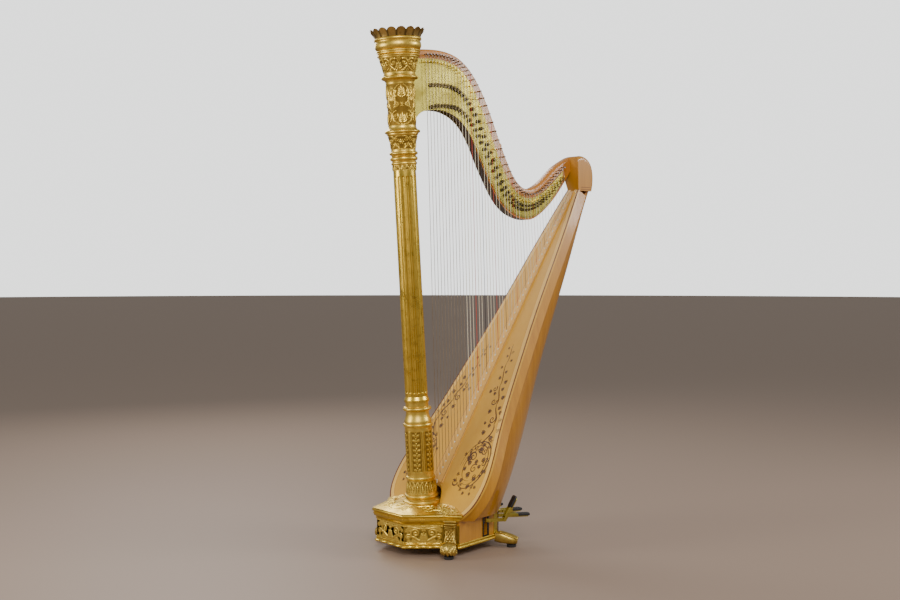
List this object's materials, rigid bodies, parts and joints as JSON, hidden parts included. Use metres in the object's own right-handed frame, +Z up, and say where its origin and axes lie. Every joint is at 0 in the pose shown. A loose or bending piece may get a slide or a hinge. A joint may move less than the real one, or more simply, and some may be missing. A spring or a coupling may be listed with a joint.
{
  "type": "concert pedal harp",
  "caption": "Gilded concert pedal harp: carved fluted column with crown, curved neck with discs and pins, tapered soundbox, strings, and folding pedals on an octagonal base.",
  "frame": {"origin": "centre of the bounding box, on the floor under the foot pads", "axes": "+Z up, -X towards the column (front), +X towards the player, strings on the -Y side of the neck"},
  "size_m": [1.033, 0.54, 1.8825],
  "materials": {
    "gilt_wood": "carved wood under bright gold leaf",
    "gilt_dark": "gold leaf worn darker and greener on the feet",
    "crown_bronze": "darkened bronze-gold leaf on the petals",
    "maple": "golden-tan varnished maple",
    "spruce": "golden-tan varnished spruce with painted gilding",
    "inner_wood": "plain unvarnished wood",
    "brass": "lacquered brass",
    "steel": "plain steel",
    "pin_steel": "blued and worn steel",
    "bridge_brass": "pale brass",
    "felt": "red felt",
    "pad_rubber": "dark rubber",
    "wire": "copper-wound steel wire",
    "gut": "off-white gut",
    "gut_red": "red-dyed gut",
    "gut_black": "black-dyed gut",
    "knob": "black",
    "eyelet_bone": "ivory-coloured"
  },
  "bodies": {
    "frame": {"action_plate_far": "brass", "action_plate_near": "brass", "axle_brackets": "steel", "base_bottom_rail": "gilt_wood", "base_box": "maple", "base_casing": "gilt_wood", "base_floor_board": "inner_wood", "base_panels": "gilt_wood", "base_top_board": "inner_wood", "body_end_block": "inner_wood", "body_rim": "maple", "body_shell": "maple", "bridge_pins": "bridge_brass", "column_base_drum": "gilt_wood", "column_capital": "gilt_wood", "column_shaft": "gilt_wood", "crown": "crown_bronze", "eyelets": "eyelet_bone", "foot_pads": "pad_rubber", "front_feet": "gilt_dark", "natural_discs": "brass", "neck": "maple", "pedal_axle": "steel", "pedal_slot_plates": "brass", "pedal_springs": "steel", "plate_screws": "steel", "rear_feet": "gilt_dark", "rest_knob": "knob", "rod_guides": "brass", "sharp_discs": "brass", "shoulder_block": "maple", "slot_felts": "felt", "soundboard": "spruce", "string_rib": "maple", "strings_black": "gut_black", "strings_gut": "gut", "strings_red": "gut_red", "strings_wire": "wire", "tuning_pins": "pin_steel"},
    "pedal_d": {"pedal_d": "brass"},
    "pedal_tip_d": {"pedal_tip_d": "brass"},
    "pedal_rod_d": {"pedal_rod_d": "steel"},
    "pedal_c": {"pedal_c": "brass"},
    "pedal_tip_c": {"pedal_tip_c": "brass"},
    "pedal_rod_c": {"pedal_rod_c": "steel"},
    "pedal_b": {"pedal_b": "brass"},
    "pedal_tip_b": {"pedal_tip_b": "brass"},
    "pedal_rod_b": {"pedal_rod_b": "steel"},
    "pedal_e": {"pedal_e": "brass"},
    "pedal_tip_e": {"pedal_tip_e": "brass"},
    "pedal_rod_e": {"pedal_rod_e": "steel"},
    "pedal_f": {"pedal_f": "brass"},
    "pedal_tip_f": {"pedal_tip_f": "brass"},
    "pedal_rod_f": {"pedal_rod_f": "steel"},
    "pedal_g": {"pedal_g": "brass"},
    "pedal_tip_g": {"pedal_tip_g": "brass"},
    "pedal_rod_g": {"pedal_rod_g": "steel"},
    "pedal_a": {"pedal_a": "brass"},
    "pedal_tip_a": {"pedal_tip_a": "brass"},
    "pedal_rod_a": {"pedal_rod_a": "steel"}
  },
  "joints": [
    {"name": "pedal_d_press", "type": "hinge", "parent": "frame", "child": "pedal_d", "pos_m": [-0.37631, -0.0294, 0.106], "axis": [0, 1, 0], "range_deg": [0, 8.53], "stiffness_Nm_per_rad": 14, "springref_deg": -14.32},
    {"name": "pedal_tip_d_fold", "type": "hinge", "parent": "pedal_d", "child": "pedal_tip_d", "pos_m": [-0.07756, -0.19058, 0.106], "axis": [-0.342, -0.9397, 0], "range_deg": [-62, 13]},
    {"name": "pedal_rod_d_slide", "type": "slide", "parent": "frame", "child": "pedal_rod_d", "axis": [0.0637, 0, -0.998], "range_m": [0, 0.01061]},
    {"name": "pedal_c_press", "type": "hinge", "parent": "frame", "child": "pedal_c", "pos_m": [-0.37631, -0.021, 0.106], "axis": [0, 1, 0], "range_deg": [0, 6.06], "stiffness_Nm_per_rad": 14, "springref_deg": -14.32},
    {"name": "pedal_tip_c_fold", "type": "hinge", "parent": "pedal_c", "child": "pedal_tip_c", "pos_m": [-0.02226, -0.12558, 0.106], "axis": [-0.439, -0.8985, 0], "range_deg": [0, 75]},
    {"name": "pedal_rod_c_slide", "type": "slide", "parent": "frame", "child": "pedal_rod_c", "axis": [0.0637, 0, -0.998], "range_m": [0, 0.00754]},
    {"name": "pedal_b_press", "type": "hinge", "parent": "frame", "child": "pedal_b", "pos_m": [-0.37631, -0.0126, 0.106], "axis": [0, 1, 0], "range_deg": [0, 5.51], "stiffness_Nm_per_rad": 14, "springref_deg": -14.32},
    {"name": "pedal_tip_b_fold", "type": "hinge", "parent": "pedal_b", "child": "pedal_tip_b", "pos_m": [0.01305, -0.05206, 0.106], "axis": [-0.1563, -0.9877, 0], "range_deg": [0, 75]},
    {"name": "pedal_rod_b_slide", "type": "slide", "parent": "frame", "child": "pedal_rod_b", "axis": [0.0637, 0, -0.998], "range_m": [0, 0.00686]},
    {"name": "pedal_e_press", "type": "hinge", "parent": "frame", "child": "pedal_e", "pos_m": [-0.37631, -0.0042, 0.106], "axis": [0, 1, 0], "range_deg": [0, 5.47], "stiffness_Nm_per_rad": 14, "springref_deg": -14.32},
    {"name": "pedal_tip_e_fold", "type": "hinge", "parent": "pedal_e", "child": "pedal_tip_e", "pos_m": [0.01589, 0.03986, 0.106], "axis": [0.1721, -0.9851, 0], "range_deg": [0, 75]},
    {"name": "pedal_rod_e_slide", "type": "slide", "parent": "frame", "child": "pedal_rod_e", "axis": [0.0637, 0, -0.998], "range_m": [0, 0.00681]},
    {"name": "pedal_f_press", "type": "hinge", "parent": "frame", "child": "pedal_f", "pos_m": [-0.37631, 0.0042, 0.106], "axis": [0, 1, 0], "range_deg": [0, 5.73], "stiffness_Nm_per_rad": 14, "springref_deg": -14.32},
    {"name": "pedal_tip_f_fold", "type": "hinge", "parent": "pedal_f", "child": "pedal_tip_f", "pos_m": [-0.00223, 0.09345, 0.106], "axis": [0.3562, -0.9344, 0], "range_deg": [0, 75]},
    {"name": "pedal_rod_f_slide", "type": "slide", "parent": "frame", "child": "pedal_rod_f", "axis": [0.0637, 0, -0.998], "range_m": [0, 0.00713]},
    {"name": "pedal_g_press", "type": "hinge", "parent": "frame", "child": "pedal_g", "pos_m": [-0.37631, 0.0126, 0.106], "axis": [0, 1, 0], "range_deg": [0, 6.26], "stiffness_Nm_per_rad": 14, "springref_deg": -14.32},
    {"name": "pedal_tip_g_fold", "type": "hinge", "parent": "pedal_g", "child": "pedal_tip_g", "pos_m": [-0.03415, 0.14035, 0.106], "axis": [0.5342, -0.8454, 0], "range_deg": [0, 75]},
    {"name": "pedal_rod_g_slide", "type": "slide", "parent": "frame", "child": "pedal_rod_g", "axis": [0.0637, 0, -0.998], "range_m": [0, 0.00779]},
    {"name": "pedal_a_press", "type": "hinge", "parent": "frame", "child": "pedal_a", "pos_m": [-0.37631, 0.021, 0.106], "axis": [0, 1, 0], "range_deg": [0, 8.53], "stiffness_Nm_per_rad": 14, "springref_deg": -14.32},
    {"name": "pedal_tip_a_fold", "type": "hinge", "parent": "pedal_a", "child": "pedal_tip_a", "pos_m": [-0.07803, 0.19092, 0.106], "axis": [0.342, -0.9397, 0], "range_deg": [0, 75]},
    {"name": "pedal_rod_a_slide", "type": "slide", "parent": "frame", "child": "pedal_rod_a", "axis": [0.0637, 0, -0.998], "range_m": [0, 0.01061]}
  ],
  "couplings": [
    {"joint": "pedal_rod_d_slide", "follows": "pedal_d_press", "m_per_rad": 0.07109},
    {"joint": "pedal_rod_c_slide", "follows": "pedal_c_press", "m_per_rad": 0.07109},
    {"joint": "pedal_rod_b_slide", "follows": "pedal_b_press", "m_per_rad": 0.07109},
    {"joint": "pedal_rod_e_slide", "follows": "pedal_e_press", "m_per_rad": 0.07109},
    {"joint": "pedal_rod_f_slide", "follows": "pedal_f_press", "m_per_rad": 0.07109},
    {"joint": "pedal_rod_g_slide", "follows": "pedal_g_press", "m_per_rad": 0.07109},
    {"joint": "pedal_rod_a_slide", "follows": "pedal_a_press", "m_per_rad": 0.07109}
  ]
}
